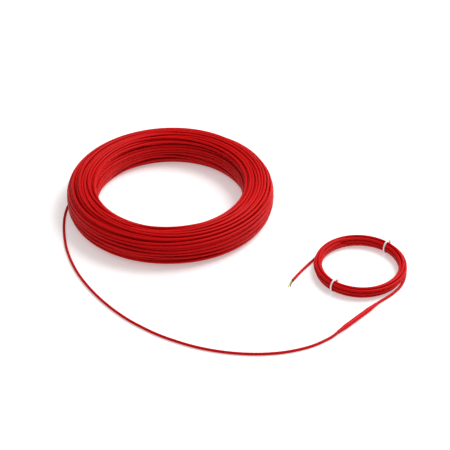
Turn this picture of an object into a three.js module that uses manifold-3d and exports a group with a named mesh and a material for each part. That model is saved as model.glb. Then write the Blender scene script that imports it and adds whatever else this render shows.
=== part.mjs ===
// Underfloor heating cable as it is sold: the heating cable wound into one big coil that lies
// flat, its free end running round in front to a shrunk splice, and behind the splice the cold
// lead, gathered into a small coil held by two cable ties, with its stripped end beside it.
// Millimetres, +Z up. The origin is on the axis of the big coil, at floor level.
import * as THREE from 'three';
import * as BufferGeometryUtils from 'three/addons/utils/BufferGeometryUtils.js';
import Module from 'manifold-3d';

// Cable, splice and cores
const cableDiameter = 4.8;
const spliceDiameter = 8;
const spliceEndDiameter = 5.6;
const spliceTaper = 21;
const spliceRise = 30;
const coreDiameter = 1.7;
const coreSpacing = 2;
const faceGap = 0.3;
const floorGap = 0.045;

// Big coil of heating cable
const coilOuterRadius = 180;
const coilInnerRadius = 125.2;
const coilMiddleRadius = 151.5;
const coilHeight = 58.7;
const coilBaseWidth = 30;
const coilRoundness = { outerTop: 2.6, innerTop: 3.5, outerBottom: 3, innerBottom: 3.1 };
const coilTurnRows = 34;
const coilGrooveDepth = 1.1;
const coilFacets = 60;
const pointsPerTurn = 3;

// Small coil of cold lead
const leadCoilCentreX = 319.1;
const leadCoilCentreY = -183.5;
const leadCoilOuterRadius = 77.6;
const leadCoilWidth = 14.6;
const leadCoilHeight = 20.4;
const leadCoilRoundness = { outerTop: 2.2, innerTop: 2.2, outerBottom: 2.2, innerBottom: 2.2 };
const leadCoilTurnRows = 11;
const leadCoilGrooveDepth = 0.9;
const leadCoilFacets = 48;

// Cable ties round the small coil: a flat band with a ratchet head
const tieWidth = 2.6;
const tieThickness = 1.1;
const tieHeadWidth = 4.6;
const tieHeadLength = 4.4;
const tieHeadHeight = 3.2;
const frontTieAngle = -131.5;
const backTieAngle = 47;
const frontTieHeadAngle = 140;
const backTieHeadAngle = 40;
const tieOutlinePoints = 28;

// Steps of the tubes along their paths and round them
const cableSides = 12;
const coreSides = 8;
const heatingSteps = 62;
const coldLeadSteps = 6;
const tailSteps = 10;
const coreSteps = 5;
const spliceSides = 16;
const spliceTaperSteps = 4;

// Ends of the splice on the floor plan, where the shrunk sleeve grips each cable
const spliceStart = new THREE.Vector2(274, -344);
const spliceEnd = new THREE.Vector2(339, -274.8);

// The heating cable from the side of the big coil, round in front of it, to the splice
const heatingRoute = [
  [-165.6, 54], [-170.6, 36.2], [-175.2, 18.8], [-179.2, 1], [-181.9, -17], [-183.2, -36],
  [-182.7, -56], [-180.8, -78], [-177.6, -100], [-173.2, -123], [-166.8, -146], [-158.4, -170],
  [-147.5, -195], [-133.9, -220], [-118, -245], [-100, -269], [-80.5, -291.5], [-60.3, -311.5],
  [-37, -330.5], [-11, -348.8], [18, -364.6], [46.5, -377.2], [74.7, -386.2], [102.8, -392],
  [131, -394.9], [159, -394.7], [187, -391], [214, -383.3], [234.5, -374.3], [253.5, -362],
  [265, -353.1],
];

// The cold lead from the splice on to the outer lower side of the small coil
const coldLeadRoute = [
  [346.2, -267], [353.4, -260], [361.2, -252.9], [368.6, -245.6], [375.1, -237.6],
];

// The cold lead's last stretch, from under the small coil's left side to the stripped end
const tailRoute = [
  [254, -141.1], [249, -147.6], [244.4, -154.1], [240.4, -159.7], [236.3, -165.3],
  [232.3, -170.9], [228.4, -176.4], [220.7, -187.9], [213.3, -199.6], [206.2, -211.6],
];

// The cores beyond the stripped end: distance along the cable's line, distance to its left
const brownRoute = [[faceGap, coreSpacing / 2], [4.5, 1], [9, 2], [13.5, 4]];
const greenYellowRoute = [[faceGap, -coreSpacing / 2], [5, -1], [10.5, -0.3], [16.5, 1.2]];

// Looks
const sheathRed = { color: 0xc01418, roughness: 0.42, metalness: 0 };
const spliceRed = { color: 0xd01c22, roughness: 0.38, metalness: 0 };
const tieWhite = { color: 0xf0efec, roughness: 0.45, metalness: 0 };
const brown = { color: 0x8a5238, roughness: 0.5, metalness: 0 };
const greenYellow = { color: 0x9fb07a, roughness: 0.5, metalness: 0 };

const cableRadius = cableDiameter / 2;
const upAxis = new THREE.Vector3(0, 0, 1);
const wasm = await Module();
wasm.setup();

const model = new THREE.Group();

function addPiece(name, geometry, look) {
  const mesh = new THREE.Mesh(geometry, new THREE.MeshStandardMaterial(look));
  mesh.name = name;
  model.add(mesh);
  return mesh;
}

// Section of a bundle of turns: a quarter of a superellipse at each of its four corners,
// run from its lowest point up its outer side
class BundleSection extends THREE.Curve {
  constructor(innerWidth, outerWidth, height, roundness) {
    super();
    this.innerWidth = innerWidth;
    this.outerWidth = outerWidth;
    this.halfHeight = height / 2;
    this.roundness = roundness;
  }

  cornerRoundness(isOuter, isTop) {
    const { outerTop, innerTop, outerBottom, innerBottom } = this.roundness;
    if (isTop) return isOuter ? outerTop : innerTop;
    return isOuter ? outerBottom : innerBottom;
  }

  getPoint(t, target = new THREE.Vector2()) {
    const angle = 2 * Math.PI * t - Math.PI / 2;
    const c = Math.cos(angle);
    const s = Math.sin(angle);
    const power = 2 / this.cornerRoundness(c > 0, s > 0);
    const width = c > 0 ? this.outerWidth : this.innerWidth;
    const x = width * Math.sign(c) * Math.abs(c) ** power;
    const y = this.halfHeight * Math.sign(s) * Math.abs(s) ** power;
    return target.set(x, y);
  }

  // Point at a share of the way round, moved outwards by a distance
  offsetPoint(share, distance) {
    const point = this.getPointAt(share);
    const tangent = this.getTangentAt(share);
    return point.add(new THREE.Vector2(tangent.y, -tangent.x).multiplyScalar(distance));
  }
}

// One bulge on the section for each turn that shows, with a groove between each two
function turnedProfile(section, rows, grooveDepth) {
  const profile = [];
  const count = pointsPerTurn * rows;
  for (let i = 0; i < count; i += 1) {
    const depth = i % pointsPerTurn === 0 ? grooveDepth : 0;
    profile.push(section.offsetPoint(i / count, -depth));
  }
  return profile;
}

// Ring turned from a closed profile of [radius, height] points
function ring(profile, facets) {
  const closed = [...profile, profile[0].clone()];
  return new THREE.LatheGeometry(closed, facets).rotateX(Math.PI / 2);
}

// Big coil: turns all over it, and a flat base where the lowest turns lie on the floor
function makeHeatingCoil() {
  const innerWidth = coilMiddleRadius - coilInnerRadius;
  const outerWidth = coilOuterRadius - coilMiddleRadius;
  const section = new BundleSection(innerWidth, outerWidth, coilHeight, coilRoundness);
  const aboveBase = (p) => p.y > 0 || Math.abs(p.x) > coilBaseWidth / 2 + faceGap;
  const sides = turnedProfile(section, coilTurnRows, coilGrooveDepth).filter(aboveBase);
  const place = new THREE.Vector2(coilMiddleRadius, coilHeight / 2);
  const profile = sides.map((p) => p.clone().add(place));
  profile.unshift(new THREE.Vector2(coilMiddleRadius + coilBaseWidth / 2, 0));
  profile.unshift(new THREE.Vector2(coilMiddleRadius - coilBaseWidth / 2, 0));
  addPiece('heating_cable_coil', ring(profile, coilFacets), sheathRed);
}

// Small coil: it lies on the bands of its two ties
const leadCoilMeanRadius = leadCoilOuterRadius - leadCoilWidth / 2;
const leadCoilCentreHeight = tieThickness + faceGap + leadCoilHeight / 2;
const leadSection = new BundleSection(
  leadCoilWidth / 2, leadCoilWidth / 2, leadCoilHeight, leadCoilRoundness,
);

function makeLeadCoil() {
  const place = new THREE.Vector2(leadCoilMeanRadius, leadCoilCentreHeight);
  const turns = turnedProfile(leadSection, leadCoilTurnRows, leadCoilGrooveDepth);
  const profile = turns.map((p) => p.add(place));
  const mesh = addPiece('cold_lead_coil', ring(profile, leadCoilFacets), sheathRed);
  mesh.position.set(leadCoilCentreX, leadCoilCentreY, 0);
}

// Round cable along a path
function cable(path, diameter, sides, steps) {
  const section = new THREE.Shape();
  for (let i = 0; i < sides; i += 1) {
    const angle = (2 * Math.PI * i) / sides;
    const x = (diameter / 2) * Math.cos(angle);
    const y = (diameter / 2) * Math.sin(angle);
    if (i === 0) section.moveTo(x, y);
    else section.lineTo(x, y);
  }
  section.closePath();
  return new THREE.ExtrudeGeometry(section, { steps, bevelEnabled: false, extrudePath: path });
}

// A cable lies on the floor and rises a little to the axis of the thicker splice
function onFloor([x, y]) {
  const here = new THREE.Vector2(x, y);
  const distance = Math.min(here.distanceTo(spliceStart), here.distanceTo(spliceEnd));
  const nearness = Math.max(0, 1 - distance / spliceRise);
  const rise = (spliceDiameter / 2 - cableRadius) * nearness * nearness;
  return new THREE.Vector3(x, y, floorGap + cableRadius + rise);
}

const spliceHeight = spliceDiameter / 2;
const spliceFrom = new THREE.Vector3(spliceStart.x, spliceStart.y, spliceHeight);
const spliceTo = new THREE.Vector3(spliceEnd.x, spliceEnd.y, spliceHeight);
const spliceDirection = spliceTo.clone().sub(spliceFrom).normalize();

function makeStretches() {
  const before = spliceFrom.clone().addScaledVector(spliceDirection, -faceGap);
  const after = spliceTo.clone().addScaledVector(spliceDirection, faceGap);
  const heating = new THREE.CatmullRomCurve3([...heatingRoute.map(onFloor), before]);
  const coldLead = new THREE.CatmullRomCurve3([after, ...coldLeadRoute.map(onFloor)]);
  const tail = new THREE.CatmullRomCurve3(tailRoute.map(onFloor));
  addPiece('heating_cable_lead', cable(heating, cableDiameter, cableSides, heatingSteps), sheathRed);
  addPiece('cold_lead', cable(coldLead, cableDiameter, cableSides, coldLeadSteps), sheathRed);
  addPiece('cold_lead_tail', cable(tail, cableDiameter, cableSides, tailSteps), sheathRed);
}

// Splice: a smooth sleeve shrunk down on to the cable at both ends
function makeSplice() {
  const length = spliceFrom.distanceTo(spliceTo);
  const endRadius = spliceEndDiameter / 2;
  const shoulder = [];
  for (let i = 0; i <= spliceTaperSteps; i += 1) {
    const share = i / spliceTaperSteps;
    const radius = endRadius + (spliceDiameter / 2 - endRadius) * THREE.MathUtils.smoothstep(share, 0, 1);
    shoulder.push(new THREE.Vector2(radius, share * spliceTaper));
  }
  const farShoulder = shoulder.map((p) => new THREE.Vector2(p.x, length - p.y)).reverse();
  const onAxis = [new THREE.Vector2(0, 0), new THREE.Vector2(0, length)];
  const profile = [onAxis[0], ...shoulder, ...farShoulder, onAxis[1]];
  const sleeve = addPiece('splice_sleeve', new THREE.LatheGeometry(profile, spliceSides), spliceRed);
  sleeve.quaternion.setFromUnitVectors(new THREE.Vector3(0, 1, 0), spliceDirection);
  sleeve.position.copy(spliceFrom);
}

// Core: from the middle height of the stripped cable down to the floor
function makeCore(name, route, look) {
  const end = onFloor(tailRoute[tailRoute.length - 1]);
  const along = end.clone().sub(onFloor(tailRoute[tailRoute.length - 2])).normalize();
  const left = new THREE.Vector3().crossVectors(upAxis, along);
  const coreRadius = coreDiameter / 2;
  const points = route.map(([distance, side], i) => {
    const drop = 1 - i / (route.length - 1);
    const point = end.clone().addScaledVector(along, distance).addScaledVector(left, side);
    point.z = coreRadius + (cableRadius - coreRadius) * drop * drop;
    return point;
  });
  const path = new THREE.CatmullRomCurve3(points);
  addPiece(name, cable(path, coreDiameter, coreSides, coreSteps), look);
}

function outline(Kind, distance) {
  const shape = new Kind();
  for (let i = 0; i < tieOutlinePoints; i += 1) {
    const point = leadSection.offsetPoint(i / tieOutlinePoints, distance);
    if (i === 0) shape.moveTo(point.x, point.y);
    else shape.lineTo(point.x, point.y);
  }
  shape.closePath();
  return shape;
}

// Closed mesh as a solid, and a solid as a geometry
function toSolid(geometry) {
  const bare = new THREE.BufferGeometry();
  bare.setAttribute('position', geometry.getAttribute('position').clone());
  if (geometry.index) bare.setIndex(geometry.index.clone());
  const merged = BufferGeometryUtils.mergeVertices(bare, 1e-4);
  return new wasm.Manifold(new wasm.Mesh({
    numProp: 3,
    vertProperties: new Float32Array(merged.getAttribute('position').array),
    triVerts: new Uint32Array(merged.index.array),
  }));
}

function toGeometry(solid) {
  const mesh = solid.getMesh();
  const geometry = new THREE.BufferGeometry();
  geometry.setAttribute('position', new THREE.BufferAttribute(mesh.vertProperties, 3));
  geometry.setIndex(new THREE.BufferAttribute(mesh.triVerts, 1));
  return geometry;
}

// Cable tie: its band follows the bundle's section, and its head stands on the band
function makeTie(name, angle, headAngle) {
  const band = outline(THREE.Shape, faceGap + tieThickness);
  band.holes.push(outline(THREE.Path, faceGap));
  const strap = new THREE.ExtrudeGeometry(band, { depth: tieWidth, bevelEnabled: false });
  strap.translate(0, 0, -tieWidth / 2);

  const share = (headAngle + 90) / 360;
  const seat = leadSection.offsetPoint(share, faceGap + tieThickness / 2);
  const tangent = leadSection.getTangentAt(share);
  const head = new THREE.BoxGeometry(tieHeadLength, tieHeadHeight, tieHeadWidth);
  head.translate(0, -tieHeadHeight / 2, 0);
  head.rotateZ(Math.atan2(tangent.y, tangent.x));
  head.translate(seat.x, seat.y, 0);

  const tie = toGeometry(toSolid(strap).add(toSolid(head)));
  tie.rotateX(Math.PI / 2);
  tie.translate(leadCoilMeanRadius, 0, leadCoilCentreHeight);
  const mesh = addPiece(name, tie, tieWhite);
  mesh.rotation.z = THREE.MathUtils.degToRad(angle);
  mesh.position.set(leadCoilCentreX, leadCoilCentreY, 0);
}

makeHeatingCoil();
makeStretches();
makeSplice();
makeLeadCoil();
makeCore('core_brown', brownRoute, brown);
makeCore('core_green_yellow', greenYellowRoute, greenYellow);
makeTie('cable_tie_front', frontTieAngle, frontTieHeadAngle);
makeTie('cable_tie_back', backTieAngle, backTieHeadAngle);

export default model;
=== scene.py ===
"""Underfloor heating cable: a big coil of thin red cable that lies flat, its free end running
round in front to a shrunk splice, and the cold lead gathered into a small tied coil.

Metres, +Z up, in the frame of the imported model: the origin is on the big coil's axis, on the floor.
"""
import math

import bpy
import numpy as np
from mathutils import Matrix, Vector


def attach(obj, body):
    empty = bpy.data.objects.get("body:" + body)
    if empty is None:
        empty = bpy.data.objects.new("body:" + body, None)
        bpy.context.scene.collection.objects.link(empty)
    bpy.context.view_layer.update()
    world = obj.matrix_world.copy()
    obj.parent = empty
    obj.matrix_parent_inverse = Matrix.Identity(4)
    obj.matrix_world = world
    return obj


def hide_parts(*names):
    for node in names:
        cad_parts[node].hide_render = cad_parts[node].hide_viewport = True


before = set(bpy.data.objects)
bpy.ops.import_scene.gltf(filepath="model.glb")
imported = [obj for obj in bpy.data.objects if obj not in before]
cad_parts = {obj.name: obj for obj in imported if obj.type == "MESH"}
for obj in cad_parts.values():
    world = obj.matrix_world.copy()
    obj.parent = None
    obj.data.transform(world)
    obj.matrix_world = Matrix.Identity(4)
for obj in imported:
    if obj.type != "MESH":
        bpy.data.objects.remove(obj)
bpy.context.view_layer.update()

# Sizes of the real object
MM = 0.001
CABLE = 4.8 * MM
SPLICE = 8.0 * MM
SPLICE_MOUTH = 5.6 * MM
SPLICE_TAPER = 21.0 * MM
SPLICE_WAIST = 0.12 * MM
SPLICE_RISE = 30.0 * MM
CORE = 1.7 * MM
FLOOR_GAP = 0.045 * MM
# Round tubes are drawn this little thinner, to stay inside the solids' straight-sided ones
TUBE_RADIUS = CABLE / 2 - 0.07 * MM
SHEATH_WALL = 0.65 * MM
# Cut end of the sheath: its rim stands out a little and is rounded, and the hollow goes back
RIM_HEIGHT = 0.12 * MM
RIM_ROUNDING = 0.15 * MM
RECESS = 1.2 * MM
# Copper wire at the end of a core: a small step, a straight length and a bevelled tip
WIRE = 1.1 * MM
WIRE_STEP = 0.05 * MM
WIRE_STEP_RUN = 0.02 * MM
WIRE_SHOWS = 0.5 * MM
WIRE_BEVEL = 0.1 * MM
COPPER_START = 0.24 * MM

# Big coil: radius and height of its section's middle, its reach inwards, outwards and up
COIL_MIDDLE = (151.5 * MM, 29.35 * MM)
COIL_REACH = (26.3 * MM, 28.5 * MM, 29.35 * MM)
COIL_ROUNDNESS = (3.5, 2.6, 3.1, 3.0)
COIL_PITCH = 5.15 * MM
COIL_WANDER = 3.4 * MM
COIL_STEPS = 88
COIL_KNOTS = 6
COIL_SEED = 5
# Its last turn comes down from this radius and height to the floor, over this share of a turn
COIL_LAST_PLACE = (177.4 * MM, 14.0 * MM)
COIL_DESCENT = 0.35

# Small coil, in the same way
LEAD_CENTRE = (319.1 * MM, -183.5 * MM)
LEAD_MIDDLE = (70.3 * MM, 11.6 * MM)
LEAD_REACH = (7.3 * MM, 7.3 * MM, 10.2 * MM)
LEAD_ROUNDNESS = (2.2, 2.2, 2.2, 2.2)
LEAD_PITCH = 4.6 * MM
LEAD_WANDER = 0.5 * MM
LEAD_STEPS = 72
LEAD_KNOTS = 5
LEAD_SEED = 11
LEAD_FULL_TURNS = 9
# Near its ends the cable may leave the section by this share, over this many steps
LEAD_LEEWAY = 0.95
LEAD_LEEWAY_STEPS = 10
# Places of its turns in winding order: column (1 outside, -1 inside) and row, in steps of the stack
LEAD_ORDER = [
    (1, -1), (0, -1.5), (-1, -1), (-1, 0), (0, -0.5), (0, 0.5), (-1, 1), (0, 1.5), (1, 1), (1, 0),
]

TIE_WIDTH = 2.6 * MM
TIE_THICKNESS = 1.1 * MM
TIE_GAP = 0.3 * MM
TIE_HEAD = (4.4 * MM, 4.6 * MM, 3.2 * MM)
# Cut end of the band beyond the head: its length, share of the width, levels up the head
TIE_STUB = 1.4 * MM
TIE_STUB_WIDTH = 0.9
TIE_STUB_LEVELS = (0.45, 0.8)
TIE_BEVEL = 0.22 * MM
TIE_BEVEL_SEGMENTS = 3
# Angle about the small coil, angle of the head round its section, and node
TIES = {"tie_front": (-131.5, 140.0, "cable_tie_front"), "tie_back": (47.0, 40.0, "cable_tie_back")}

# Fineness of the meshes
TURN_SIDES = 10
CABLE_SIDES = 16
SPLICE_SIDES = 32
CORE_SIDES = 20
HEATING_SPAN_STEPS = 8
LEAD_SPAN_STEPS = 6
CORE_SPAN_STEPS = 8
SPLICE_STEPS = 60
TIE_STEPS = 72
OUTLINE_STEPS = 1440
SHARP_ANGLE = math.radians(50)


# Camera: fitted to the outlines of both coils in the photograph
CAMERA_AIM = Vector((95.0 * MM, -54.5 * MM, 0.0))
CAMERA_PITCH = math.radians(36.525)
CAMERA_DISTANCE = 2.795
CAMERA_LENS = 129.54
SENSOR_WIDTH = 36.0


def place_camera():
    """The camera looks along +Y and down by its pitch, at a point on the floor."""
    camera = bpy.data.objects.new("camera", bpy.data.cameras.new("camera"))
    camera.data.lens = CAMERA_LENS
    camera.data.sensor_width = SENSOR_WIDTH
    away = Vector((0.0, -math.cos(CAMERA_PITCH), math.sin(CAMERA_PITCH)))
    camera.location = CAMERA_AIM + CAMERA_DISTANCE * away
    camera.rotation_euler = (math.pi / 2 - CAMERA_PITCH, 0.0, 0.0)
    bpy.context.scene.collection.objects.link(camera)
    bpy.context.scene.camera = camera


place_camera()


# Routes of the free stretches on the floor plan
SPLICE_START = np.array((274.0, -344.0)) * MM
SPLICE_END = np.array((339.0, -274.8)) * MM

HEATING_ROUTE = [
    (-165.6, 54), (-170.6, 36.2), (-175.2, 18.8), (-179.2, 1), (-181.9, -17), (-183.2, -36),
    (-182.7, -56), (-180.8, -78), (-177.6, -100), (-173.2, -123), (-166.8, -146), (-158.4, -170),
    (-147.5, -195), (-133.9, -220), (-118, -245), (-100, -269), (-80.5, -291.5), (-60.3, -311.5),
    (-37, -330.5), (-11, -348.8), (18, -364.6), (46.5, -377.2), (74.7, -386.2), (102.8, -392),
    (131, -394.9), (159, -394.7), (187, -391), (214, -383.3), (234.5, -374.3), (253.5, -362),
    (265, -353.1),
]
COLD_LEAD_ROUTE = [(346.2, -267), (353.4, -260), (361.2, -252.9), (368.6, -245.6), (375.1, -237.6)]
TAIL_ROUTE = [
    (254, -141.1), (249, -147.6), (244.4, -154.1), (240.4, -159.7), (236.3, -165.3),
    (232.3, -170.9), (228.4, -176.4), (220.7, -187.9), (213.3, -199.6), (206.2, -211.6),
]
# Cores beyond the stripped end: distance along the cable's line, distance to its left
BROWN_ROUTE = [(0.3, 1.0), (4.5, 1.0), (9.0, 2.0), (13.5, 4.0)]
GREEN_YELLOW_ROUTE = [(0.3, -1.0), (5.0, -1.0), (10.5, -0.3), (16.5, 1.2)]


def on_floor(route):
    """Cable centres above a floor route: near the splice they rise by a square law to its axis."""
    plan = np.array(route) * MM
    to_start = np.linalg.norm(plan - SPLICE_START, axis=1)
    to_end = np.linalg.norm(plan - SPLICE_END, axis=1)
    nearness = np.clip(1 - np.minimum(to_start, to_end) / SPLICE_RISE, 0, None)
    height = FLOOR_GAP + CABLE / 2 + (SPLICE - CABLE) / 2 * nearness**2
    return np.column_stack([plan, height])


def smooth_line(points, per_span):
    """Centripetal Catmull-Rom curve: each span is the cubic with the tangents that the square roots
    of the chord lengths give, and the ends go on straight."""
    p = np.asarray(points, float)
    p = np.vstack([2 * p[0] - p[1], p, 2 * p[-1] - p[-2]])
    a, b, c, d = p[:-3], p[1:-2], p[2:-1], p[3:]
    ab, bc, cd = (np.linalg.norm(q, axis=1, keepdims=True) ** 0.5 for q in (b - a, c - b, d - c))
    start = ((b - a) / ab - (c - a) / (ab + bc) + (c - b) / bc) * bc
    end = ((c - b) / bc - (d - b) / (bc + cd) + (d - c) / cd) * bc
    t = np.linspace(0, 1, per_span, endpoint=False)[None, :, None]
    b, c, start, end = (q[:, None, :] for q in (b, c, start, end))
    line = (2 * t**3 - 3 * t**2 + 1) * b + (t**3 - 2 * t**2 + t) * start
    line = line + (3 * t**2 - 2 * t**3) * c + (t**3 - t**2) * end
    return np.vstack([line.reshape(-1, 3), p[-2]])


# Winding of the coils
COLUMN_SPACING = 0.866
MOST_ROWS = 12
WANDER_WINDOW = 15
SETTLING_ROUNDS = 120
SMOOTHINGS = 2
FIRST_PULL = 1.0
LAST_PULL = 0.5
PUSHES = 3
PUSH_SHARE = 0.4


class Section:
    """Section of a bundle of turns. Each corner is a quarter of a superellipse. Reach holds its inner
    and outer widths and its half height, and roundness its powers: inside and outside above the
    middle, then inside and outside below it."""

    def __init__(self, middle, reach, roundness):
        self.middle = np.array(middle)
        self.reach = reach
        self.roundness = roundness

    def inset(self, margin):
        return Section(self.middle, [r - margin for r in self.reach], self.roundness)

    def share_out(self, q):
        """How far out points (from the middle) lie: 1 on the section's outline, less inside."""
        inner, outer, height = self.reach
        x, y = q[..., 0], q[..., 1]
        above = np.where(x < 0, self.roundness[0], self.roundness[1])
        below = np.where(x < 0, self.roundness[2], self.roundness[3])
        power = np.where(y > 0, above, below)
        total = np.abs(x / np.where(x < 0, inner, outer)) ** power + np.abs(y / height) ** power
        return np.maximum(total, 1e-9) ** (1 / power)

    def stacked_places(self, pitch):
        """Places for turns: a hexagonal stack, column by column from the bore outwards, up one column
        and down the next, so that the last column is wound downwards."""
        columns = []
        spacing = COLUMN_SPACING * pitch
        count = int(max(self.reach) / spacing) + 1
        for column in range(count, -count - 1, -1):
            rise = (np.arange(-MOST_ROWS, MOST_ROWS + 1) + 0.5 * (column % 2)) * pitch
            q = np.column_stack([np.full_like(rise, spacing * column), rise])
            q = q[self.share_out(q) <= 1]
            if len(q):
                columns.append(q if len(columns) % 2 == 0 else q[::-1])
        return self.middle + np.concatenate(columns)[::-1]


COIL = Section(COIL_MIDDLE, COIL_REACH, COIL_ROUNDNESS)
LEAD = Section(LEAD_MIDDLE, LEAD_REACH, LEAD_ROUNDNESS)


def wander(count, per_turn, knots_per_turn, rng):
    """Slow random drift along the cable: random values at knots, joined and smoothed."""
    turns = count / per_turn
    knots = rng.normal(0, 1, (int(turns * knots_per_turn) + 3, 2))
    at = np.arange(count) / per_turn * knots_per_turn
    window = np.hanning(WANDER_WINDOW)
    window /= window.sum()
    drift = [np.interp(at, np.arange(len(knots)), knots[:, axis]) for axis in range(2)]
    return np.column_stack([np.convolve(line, window, mode="same") for line in drift])


def settle(chain, held, limit, per_turn, section):
    """Lets a wound cable find its place. chain holds a (radius, height) for each step along the cable,
    held says which steps stay, and limit how far out of the section a step may be (1 is its outline).
    Each round smooths it along the cable, then in every slice through the coil pushes turns apart that
    are nearer than a diameter, and brings back what left the section or the floor."""
    count = len(chain)
    rows = math.ceil(count / per_turn)
    idle = np.arange(rows * per_turn) >= count
    p = np.vstack([chain, np.zeros((idle.sum(), 2))])
    fixed = np.concatenate([held, idle[count:]])
    limit = np.concatenate([limit, idle[count:] + 1.0])
    home = p.copy()
    idle_slice = idle.reshape(rows, per_turn).T
    apart = np.eye(rows, dtype=bool)[None] | idle_slice[:, :, None] | idle_slice[:, None, :]
    middle = section.middle
    core = section.inset(CABLE / 2)
    for turn in range(SETTLING_ROUNDS):
        pull = FIRST_PULL - (FIRST_PULL - LAST_PULL) * turn / SETTLING_ROUNDS
        for _ in range(SMOOTHINGS):
            inner = p[1 : count - 1]
            p[1 : count - 1] = inner + pull * (0.5 * (p[: count - 2] + p[2:count]) - inner)
        for _ in range(PUSHES):
            q = p.reshape(rows, per_turn, 2).transpose(1, 0, 2)
            gap = q[:, :, None] - q[:, None, :]
            far = np.sqrt((gap**2).sum(3)) + 1e-9
            push = PUSH_SHARE * np.clip(CABLE - far, 0, None) / far
            push[apart] = 0
            q = q + (push[..., None] * gap).sum(2)
            p = q.transpose(1, 0, 2).reshape(-1, 2)
            away = p - middle
            out = core.share_out(away) / limit
            p = middle + away / np.maximum(out, 1)[:, None]
            p[:, 1] = np.maximum(p[:, 1], FLOOR_GAP + CABLE / 2)
            p[fixed] = home[fixed]
    return p[:count]


def around(chain, angles, centre):
    """Points in space of a wound cable: its radius and height at an angle about the coil's axis."""
    x = centre[0] + chain[:, 0] * np.cos(angles)
    y = centre[1] + chain[:, 0] * np.sin(angles)
    return np.column_stack([x, y, chain[:, 1]])


def smoothstep(t):
    t = np.clip(t, 0, 1)
    return t * t * (3 - 2 * t)


def between_places(places, steps, per_turn):
    """Each turn drifts from its own place to the next one's."""
    turn = steps / per_turn
    index = np.minimum(turn.astype(int), len(places) - 1)
    following = np.minimum(index + 1, len(places) - 1)
    return places[index] + (places[following] - places[index]) * (turn - index)[:, None]


def wind_heating_coil():
    """The wound heating cable, ending where the free stretch begins, at the foot of the coil."""
    rng = np.random.default_rng(COIL_SEED)
    places = COIL.inset(CABLE / 2).stacked_places(COIL_PITCH)
    count = len(places) * COIL_STEPS + 1
    steps = np.arange(count)
    chain = between_places(places, steps, COIL_STEPS)
    chain += COIL_WANDER * wander(count, COIL_STEPS, COIL_KNOTS, rng)
    exit_point = on_floor(HEATING_ROUTE)[0]
    foot = np.array((math.hypot(exit_point[0], exit_point[1]), exit_point[2]))
    last = steps > count - 1 - COIL_DESCENT * COIL_STEPS
    descent = smoothstep((steps[last] - steps[last][0]) / (COIL_DESCENT * COIL_STEPS - 1))[:, None]
    side = np.array(COIL_LAST_PLACE)
    chain[last] = side + (foot - side) * descent
    chain = settle(chain, last, np.ones(count), COIL_STEPS, COIL)
    exit_angle = math.atan2(exit_point[1], exit_point[0])
    angles = exit_angle + 2 * math.pi * (steps - steps[-1]) / COIL_STEPS
    return around(chain, angles, (0.0, 0.0))


def entering(last_points):
    """Radius and height of a free stretch's end, and of the next step straight on from it."""
    before, end = last_points - (*LEAD_CENTRE, 0)
    onward = (end - before) / np.linalg.norm(end - before)
    ahead = end + onward * 2 * math.pi * math.hypot(end[0], end[1]) / LEAD_STEPS
    return [(math.hypot(q[0], q[1]), q[2]) for q in (end, ahead)]


def wind_cold_lead():
    """The gathered cold lead, from where its first stretch ends to where its last one begins."""
    rng = np.random.default_rng(LEAD_SEED)
    places = LEAD.middle + np.array(LEAD_ORDER) * (COLUMN_SPACING * LEAD_PITCH, LEAD_PITCH)
    first_stretch = on_floor(COLD_LEAD_ROUTE)
    last_stretch = on_floor(TAIL_ROUTE)
    arrive = first_stretch[-1] - (*LEAD_CENTRE, 0)
    leave = last_stretch[0] - (*LEAD_CENTRE, 0)
    first = math.atan2(arrive[1], arrive[0])
    swept = (math.atan2(leave[1], leave[0]) - first) % (2 * math.pi) + 2 * math.pi * LEAD_FULL_TURNS
    count = round(swept / (2 * math.pi) * LEAD_STEPS) + 1
    steps = np.arange(count)
    chain = between_places(places, steps, LEAD_STEPS)
    chain += LEAD_WANDER * wander(count, LEAD_STEPS, LEAD_KNOTS, rng)
    from_end = np.minimum(steps, steps[::-1])
    chain[:2] = entering(first_stretch[-2:])
    chain[-2:] = entering(last_stretch[1::-1])[::-1]
    limit = 1 + LEAD_LEEWAY * (1 - smoothstep(from_end / LEAD_LEEWAY_STEPS))
    chain = settle(chain, from_end < 2, limit, LEAD_STEPS, LEAD)
    return around(chain, first + swept * steps / steps[-1], LEAD_CENTRE)


# Meshes
def new_piece(name, points, faces, uv, material):
    """A mesh object at the origin from arrays: points, faces and one UV pair for each face corner."""
    mesh = bpy.data.meshes.new(name)
    mesh.from_pydata(points.tolist(), [], faces)
    layer = mesh.uv_layers.new(name="run")
    layer.data.foreach_set("uv", np.asarray(uv, np.float32).ravel())
    mesh.polygons.foreach_set("use_smooth", [True] * len(mesh.polygons))
    mesh.materials.append(material)
    mesh.update()
    piece = bpy.data.objects.new(name, mesh)
    bpy.context.scene.collection.objects.link(piece)
    return piece


def length_of(line):
    return float(np.linalg.norm(np.diff(line, axis=0), axis=1).sum())


def frames(line):
    """Sideways and upward unit vectors square to the line, which never stands upright."""
    tangent = np.gradient(line, axis=0)
    tangent /= np.linalg.norm(tangent, axis=1, keepdims=True)
    side = np.cross(tangent, (0.0, 0.0, 1.0))
    side /= np.linalg.norm(side, axis=1, keepdims=True)
    return side, np.cross(side, tangent)


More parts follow.
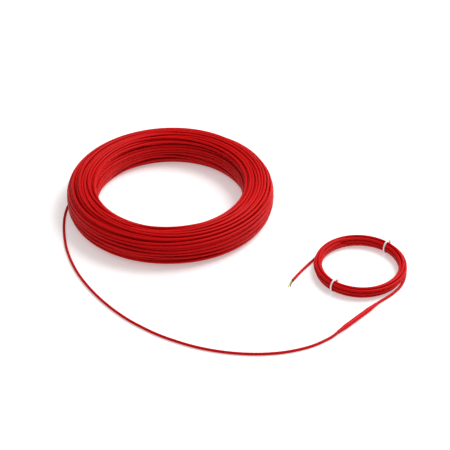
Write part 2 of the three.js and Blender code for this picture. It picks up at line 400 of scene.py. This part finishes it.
def swept_grid(line, radii, sides, mouth):
    """Rings round the line: point j of ring i is the line's point plus radius i times the unit circle
    at angle 2 pi j / sides, in the plane square to the line. Each (distance, radius) of the mouth adds
    a ring that far beyond the line's end, or inside it where the distance is negative."""
    side, up = frames(line)
    tip = np.cross(up[-1], side[-1])
    centres = np.vstack([line] + [line[-1] + far * tip for far, _ in mouth])
    radii = np.concatenate([radii, [radius for _, radius in mouth]])
    side = np.vstack([side] + [side[-1]] * len(mouth))
    up = np.vstack([up] + [up[-1]] * len(mouth))
    angle = 2 * math.pi * np.arange(sides) / sides
    ring = side[:, None] * np.cos(angle)[None, :, None] + up[:, None] * np.sin(angle)[None, :, None]
    return centres, centres[:, None] + radii[:, None, None] * ring


def grid_faces(rows, sides):
    """Four-sided faces between rings that close on themselves, with the ends closed by one face."""
    i, j = np.meshgrid(np.arange(rows - 1), np.arange(sides), indexing="ij")
    following = (j + 1) % sides
    corners = [i * sides + j, i * sides + following, (i + 1) * sides + following, (i + 1) * sides + j]
    faces = np.stack([c.ravel() for c in corners], axis=1)[:, ::-1]
    ends = [list(range(sides)), list(range(rows * sides - 1, (rows - 1) * sides - 1, -1))]
    return faces, ends


def swept_piece(name, line, radii, sides, material, mouth=()):
    """A round piece along a line, and its ring centres. Its UV runs in metres along the line and its
    mouth, and once round it."""
    centres, grid = swept_grid(line, radii, sides, mouth)
    rows = len(centres)
    faces, ends = grid_faces(rows, sides)
    along = np.concatenate([[0.0], np.cumsum(np.linalg.norm(np.diff(centres, axis=0), axis=1))])
    i, j = np.divmod(faces, sides)
    turn = j / sides
    turn = np.where((turn.max(1) - turn.min(1) > 0.5)[:, None] & (turn < 0.5), turn + 1, turn)
    uv = np.stack([along[i], turn], axis=2).reshape(-1, 2)
    end_uv = np.array([(along[k // sides], (k % sides) / sides) for end in ends for k in end])
    everything = faces.tolist() + ends
    piece = new_piece(name, grid.reshape(-1, 3), everything, np.vstack([uv, end_uv]), material)
    piece.data.set_sharp_from_angle(angle=SHARP_ANGLE)
    return piece, centres


# Materials: colours, the fineness of the patterns (larger is finer), and their depth
COPPER = (0.83, 0.42, 0.24, 1)
CORE_SHADE = (0.05, 0.05, 0.04, 1)
NYLON_LIGHT = (0.9, 0.89, 0.87, 1)
NYLON_DARK = (0.8, 0.79, 0.77, 1)
DRAWN_STRETCH = (12.0, 9.0, 1.0)
DRAWN_SCALE = 6.0
SHEATH_TONE_SCALE = 38.0
SCUFF_SCALE = 420.0
NYLON_TONE_SCALE = 160.0
NYLON_GRAIN_SCALE = 900.0
CORE_TONE_SCALE = 300.0
SHEATH_DEPTH = 0.03 * MM
NYLON_DEPTH = 0.02 * MM


class Signal:
    """A socket's value under construction: the operators add Math nodes behind it."""

    def __init__(self, finish, socket):
        self.finish = finish
        self.socket = socket

    def _math(self, operation, *values):
        return self.finish.add("ShaderNodeMath", {"operation": operation}, dict(enumerate(values)))

    def __add__(self, other):
        return self._math("ADD", self, other)

    __radd__ = __add__

    def __mul__(self, other):
        return self._math("MULTIPLY", self, other)

    __rmul__ = __mul__


class Finish:
    """One material: add() makes any node, and the named sockets of the shader take what is given."""

    def __init__(self, name, **shader_values):
        self.material = bpy.data.materials.new(name)
        self.material.use_nodes = True
        self.tree = self.material.node_tree
        self.shader = self.tree.nodes["Principled BSDF"]
        for socket, value in shader_values.items():
            self.shader.inputs[socket.replace("_", " ")].default_value = value

    def add(self, kind, settings=None, inputs=None, output=0):
        node = self.tree.nodes.new(kind)
        for key, value in (settings or {}).items():
            setattr(node, key, value)
        for key, value in (inputs or {}).items():
            self.connect(node.inputs[key], value)
        return Signal(self, node.outputs[output])

    def connect(self, socket, value):
        if isinstance(value, Signal):
            self.tree.links.new(value.socket, socket)
        else:
            socket.default_value = value

    def mix(self, factor, first, second):
        settings = {"data_type": "RGBA"}
        return self.add("ShaderNodeMix", settings, {0: factor, 6: first, 7: second}, output=2)

    def noise(self, where, scale, detail=3.0):
        inputs = {"Vector": where, "Scale": scale, "Detail": detail}
        return self.add("ShaderNodeTexNoise", None, inputs)

    def place(self, source="Object", stretch=(1.0, 1.0, 1.0)):
        """Object coordinates, or the piece's own UV, stretched by a Mapping node."""
        where = self.add("ShaderNodeTexCoord", output=source)
        return self.add("ShaderNodeMapping", None, {"Vector": where, "Scale": stretch})

    def bump(self, height, distance):
        inputs = {"Height": height, "Distance": distance, "Strength": 1.0}
        self.connect(self.shader.inputs["Normal"], self.add("ShaderNodeBump", None, inputs))


def sheath(name, light, dark, roughness):
    """Extruded red plastic: faint drawn lines along the cable, a slow change of tone, small scuffs."""
    finish = Finish(name, Specular_IOR_Level=0.1)
    lines = finish.noise(finish.place("UV", DRAWN_STRETCH), DRAWN_SCALE)
    tone = finish.noise(finish.place(), SHEATH_TONE_SCALE, 4.0)
    scuffs = finish.noise(finish.place(), SCUFF_SCALE, 2.0)
    colour = finish.mix(0.35 * lines + 0.5 * tone, light, dark)
    finish.connect(finish.shader.inputs["Base Color"], colour)
    finish.connect(finish.shader.inputs["Roughness"], roughness - 0.08 + 0.1 * tone + 0.08 * scuffs)
    finish.bump(lines + 0.3 * scuffs, SHEATH_DEPTH)
    return finish.material


def nylon(name):
    """Moulded natural nylon: milky white, a little gloss, a faint grain."""
    finish = Finish(name, Specular_IOR_Level=0.5)
    grain = finish.noise(finish.place(), NYLON_GRAIN_SCALE, 2.0)
    tone = finish.noise(finish.place(), NYLON_TONE_SCALE)
    finish.connect(finish.shader.inputs["Base Color"], finish.mix(tone, NYLON_LIGHT, NYLON_DARK))
    finish.connect(finish.shader.inputs["Roughness"], 0.36 + 0.12 * grain)
    finish.bump(grain, NYLON_DEPTH)
    return finish.material


def insulation(name, first, second, stripe, length):
    """Core insulation: the first colour, with a stripe of the second along the core. The stripe's half
    width is a share of the way round. Copper beyond the length."""
    finish = Finish(name, Specular_IOR_Level=0.45)
    tone = finish.noise(finish.place(), CORE_TONE_SCALE)
    place = finish.place("UV")
    along = finish.add("ShaderNodeSeparateXYZ", None, {0: place}, output="X")
    round_it = finish.add("ShaderNodeSeparateXYZ", None, {0: place}, output="Y")
    band = finish.add("ShaderNodeMath", {"operation": "COMPARE"}, {0: round_it, 1: 0.5, 2: stripe})
    colour = finish.mix(band, first, second)
    shaded = finish.mix(0.25 * tone, colour, CORE_SHADE)
    bare = finish.add("ShaderNodeMath", {"operation": "GREATER_THAN"}, {0: along, 1: length})
    finish.connect(finish.shader.inputs["Base Color"], finish.mix(bare, shaded, COPPER))
    finish.connect(finish.shader.inputs["Metallic"], bare)
    finish.connect(finish.shader.inputs["Roughness"], 0.38 + 0.15 * tone)
    return finish.material


SHEATH = sheath("red_sheath", (0.60, 0.001, 0.0018, 1), (0.40, 0.0006, 0.0012, 1), 0.40)
SLEEVE = sheath("red_sleeve", (0.64, 0.0035, 0.009, 1), (0.50, 0.0025, 0.006, 1), 0.40)
NYLON = nylon("white_nylon")
# Cores: first colour, second colour, half width of the stripe as a share of the way round
BROWN = ((0.24, 0.09, 0.045, 1), (0.24, 0.09, 0.045, 1), 0.0)
GREEN_YELLOW = ((0.75, 0.62, 0.05, 1), (0.08, 0.30, 0.06, 1), 0.17)


# Cables
def make_heating_cable():
    turns = wind_heating_coil()
    coil, _ = swept_piece("heating_turns", turns, np.full(len(turns), CABLE / 2), TURN_SIDES, SHEATH)
    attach(coil, "root")
    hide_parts("heating_cable_coil")


def splice_axis():
    height = SPLICE / 2
    return np.array([(*SPLICE_START, height), (*SPLICE_END, height)])


def make_splice():
    """Sleeve shrunk over the joint: its radius eases from its mouths up to the joint's and back, with
    a slight waist behind each shoulder."""
    ends = splice_axis()
    length = np.linalg.norm(ends[1] - ends[0])
    share = np.linspace(0, 1, SPLICE_STEPS + 1)
    line = ends[0] + (ends[1] - ends[0]) * share[:, None]
    from_end = np.minimum(share, 1 - share) * length
    radii = SPLICE_MOUTH / 2 + (SPLICE - SPLICE_MOUTH) / 2 * smoothstep(from_end / SPLICE_TAPER)
    waist = np.sin(math.pi * smoothstep((from_end - SPLICE_TAPER) / SPLICE_TAPER)) ** 2
    radii -= SPLICE_WAIST * waist
    piece, _ = swept_piece("splice", line, radii, SPLICE_SIDES, SLEEVE)
    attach(piece, "root")
    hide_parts("splice_sleeve")
    return piece


def make_heating_lead():
    route = np.vstack([on_floor(HEATING_ROUTE), splice_axis()[0]])
    line = smooth_line(route, HEATING_SPAN_STEPS)
    radii = np.full(len(line), TUBE_RADIUS)
    piece, _ = swept_piece("heating_lead", line, radii, CABLE_SIDES, SHEATH)
    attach(piece, "root")
    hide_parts("heating_cable_lead")


def make_cold_lead(with_pieces):
    first = smooth_line(np.vstack([splice_axis()[1], on_floor(COLD_LEAD_ROUTE)]), LEAD_SPAN_STEPS)
    last = smooth_line(on_floor(TAIL_ROUTE), LEAD_SPAN_STEPS)
    line = np.vstack([first[:-1], wind_cold_lead(), last[1:]])
    radii = np.full(len(line), TUBE_RADIUS)
    bore = TUBE_RADIUS - SHEATH_WALL
    mouth = [(RIM_HEIGHT, TUBE_RADIUS - RIM_ROUNDING), (RIM_HEIGHT, bore), (-RECESS, bore)]
    piece, centres = swept_piece("cold_lead_cable", line, radii, CABLE_SIDES, SHEATH, mouth)
    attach(piece, "root")
    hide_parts("cold_lead", "cold_lead_coil", "cold_lead_tail")


def make_core(name, route, colours, slot, node):
    """Insulated core: it sinks by a square law from the cable's axis height to the floor, and its
    copper wire shows at the cut end."""
    tail = on_floor(TAIL_ROUTE)
    along = (tail[-1] - tail[-2]) / np.linalg.norm(tail[-1] - tail[-2])
    left = np.cross((0.0, 0.0, 1.0), along)
    steps = np.array(route) * MM
    points = tail[-1] + steps[:, :1] * along + steps[:, 1:] * left
    drop = 1 - np.arange(len(route)) / (len(route) - 1)
    points[:, 2] = CORE / 2 + (CABLE - CORE) / 2 * drop**2
    line = smooth_line(np.vstack([points[0] - RECESS * along, points]), CORE_SPAN_STEPS)
    wire = WIRE / 2
    mouth = [
        (0, wire + WIRE_STEP),
        (WIRE_STEP_RUN, wire),
        (WIRE_SHOWS, wire),
        (WIRE_SHOWS + WIRE_BEVEL, wire - WIRE_BEVEL),
    ]
    material = insulation(slot, *colours, length_of(line) + COPPER_START)
    piece, _ = swept_piece(name, line, np.full(len(line), CORE / 2), CORE_SIDES, material, mouth)
    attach(piece, "root")
    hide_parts(node)
    return piece


# Cable ties
def section_outline(offset):
    """Points at equal lengths round the small coil's section, moved outwards by an offset."""
    angle = np.linspace(-math.pi / 2, 1.5 * math.pi, OUTLINE_STEPS + 1)
    c, s = np.cos(angle), np.sin(angle)
    power = 2 / LEAD_ROUNDNESS[0]
    curve = np.column_stack([
        LEAD_REACH[0] * np.sign(c) * np.abs(c) ** power,
        LEAD_REACH[2] * np.sign(s) * np.abs(s) ** power,
    ])
    tangent = np.gradient(curve, axis=0)
    tangent /= np.maximum(np.linalg.norm(tangent, axis=1, keepdims=True), 1e-9)
    curve = curve + offset * np.column_stack([tangent[:, 1], -tangent[:, 0]])
    along = np.concatenate([[0], np.cumsum(np.linalg.norm(np.diff(curve, axis=0), axis=1))])
    at = np.linspace(0, along[-1], TIE_STEPS, endpoint=False)
    return np.column_stack([np.interp(at, along, curve[:, axis]) for axis in range(2)])


def box_between(low, high):
    """Corners and faces of a box."""
    x, y, z = zip(low, high)
    corners = np.array([(a, b, c) for c in z for b in y for a in x])
    faces = [(0, 2, 3, 1), (4, 5, 7, 6), (0, 1, 5, 4), (1, 3, 7, 5), (3, 2, 6, 7), (2, 0, 4, 6)]
    return corners, faces


def make_tie(name, angle, head_angle, node):
    """Cable tie: a band round the bundle, a head that stands on it and the trimmed end of the band.
    In the section's plane the columns are outwards from the coil's axis, along the coil, and up."""
    count = TIE_STEPS
    half = TIE_WIDTH / 2
    inner = section_outline(TIE_GAP)
    outer = section_outline(TIE_GAP + TIE_THICKNESS)
    corners = [(inner, -half), (outer, -half), (outer, half), (inner, half)]
    edges = [np.column_stack([q[:, 0], np.full(count, y), q[:, 1]]) for q, y in corners]
    band = np.stack(edges, axis=1)
    i, j = np.meshgrid(np.arange(count), np.arange(4), indexing="ij")
    ahead, beside = (i + 1) % count, (j + 1) % 4
    quads = [i * 4 + j, ahead * 4 + j, ahead * 4 + beside, i * 4 + beside]
    points = [band.reshape(-1, 3)]
    faces = np.stack([c.ravel() for c in quads], axis=1).tolist()

    seat = round((head_angle + 90) / 360 * count)
    middle = section_outline(TIE_GAP + TIE_THICKNESS / 2)
    tangent = middle[(seat + 1) % count] - middle[seat - 1]
    tangent /= np.linalg.norm(tangent)
    outward = np.array((tangent[1], -tangent[0]))
    long, wide, high = TIE_HEAD
    head = box_between((-long / 2, -wide / 2, 0), (long / 2, wide / 2, high))
    beside_stub = half * TIE_STUB_WIDTH
    bottom, top = (high * level for level in TIE_STUB_LEVELS)
    stub = box_between((0, -beside_stub, bottom), (long / 2 + TIE_STUB, beside_stub, top))
    for box, box_faces in (head, stub):
        spot = middle[seat] + box[:, :1] * tangent + box[:, 2:] * outward
        start = sum(len(p) for p in points)
        points.append(np.column_stack([spot[:, 0], box[:, 1], spot[:, 1]]))
        faces += [[start + k for k in face] for face in box_faces]

    local = np.vstack(points) + (LEAD.middle[0], 0, LEAD.middle[1])
    turn = math.radians(angle)
    x = local[:, 0] * math.cos(turn) - local[:, 1] * math.sin(turn) + LEAD_CENTRE[0]
    y = local[:, 0] * math.sin(turn) + local[:, 1] * math.cos(turn) + LEAD_CENTRE[1]
    uv = np.zeros((sum(len(face) for face in faces), 2))
    piece = new_piece(name, np.column_stack([x, y, local[:, 2]]), faces, uv, NYLON)
    bevel = piece.modifiers.new("rounded edges", "BEVEL")
    bevel.width = TIE_BEVEL
    bevel.segments = TIE_BEVEL_SEGMENTS
    bevel.angle_limit = SHARP_ANGLE
    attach(piece, "root")
    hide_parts(node)
    return piece


make_heating_cable()
splice = make_splice()
make_heating_lead()
cores = [
    make_core("brown_wire", BROWN_ROUTE, BROWN, "core_brown", "core_brown"),
    make_core(
        "green_yellow_wire", GREEN_YELLOW_ROUTE, GREEN_YELLOW, "core_green_yellow", "core_green_yellow",
    ),
]
ties = [make_tie(name, *facts) for name, facts in TIES.items()]
make_cold_lead(cores + ties)


# Studio
FLOOR_REACH = 6.0
FLOOR_COLOUR = (0.85, 0.85, 0.85, 1)
FLOOR_ROUGHNESS = 0.12
FLOOR_GLOW = 0.32
WHITE = (1, 1, 1, 1)
KEY_PLACE = (1.5, 0.7, 2.2)
KEY_AIM = (0.1, -0.1, 0.0)
KEY_SIZE = 1.8
KEY_POWER = 75
WORLD_STRENGTH = 0.55


def make_floor():
    """Plain pale floor with a soft gloss."""
    mesh = bpy.data.meshes.new("floor")
    far = FLOOR_REACH
    corners = [(-far, -far, 0), (far, -far, 0), (far, far, 0), (-far, far, 0)]
    mesh.from_pydata(corners, [], [(0, 1, 2, 3)])
    finish = Finish("pale_floor", Specular_IOR_Level=0.5, Roughness=FLOOR_ROUGHNESS)
    finish.shader.inputs["Base Color"].default_value = FLOOR_COLOUR
    finish.shader.inputs["Emission Color"].default_value = WHITE
    finish.shader.inputs["Emission Strength"].default_value = FLOOR_GLOW
    mesh.materials.append(finish.material)
    floor = bpy.data.objects.new("floor", mesh)
    bpy.context.scene.collection.objects.link(floor)


def make_light(name, place, aim, size, power):
    """Square soft box that faces a point."""
    light = bpy.data.lights.new(name, "AREA")
    light.shape = "SQUARE"
    light.size = size
    light.energy = power
    lamp = bpy.data.objects.new(name, light)
    lamp.location = place
    lamp.rotation_euler = (Vector(aim) - Vector(place)).to_track_quat("-Z", "Y").to_euler()
    bpy.context.scene.collection.objects.link(lamp)


def make_world(strength):
    world = bpy.data.worlds.new("studio")
    world.use_nodes = True
    world.node_tree.nodes["Background"].inputs["Color"].default_value = WHITE
    world.node_tree.nodes["Background"].inputs["Strength"].default_value = strength
    bpy.context.scene.world = world


make_floor()
make_light("key", KEY_PLACE, KEY_AIM, KEY_SIZE, KEY_POWER)
make_world(WORLD_STRENGTH)
bpy.context.scene.view_settings.view_transform = "Standard"
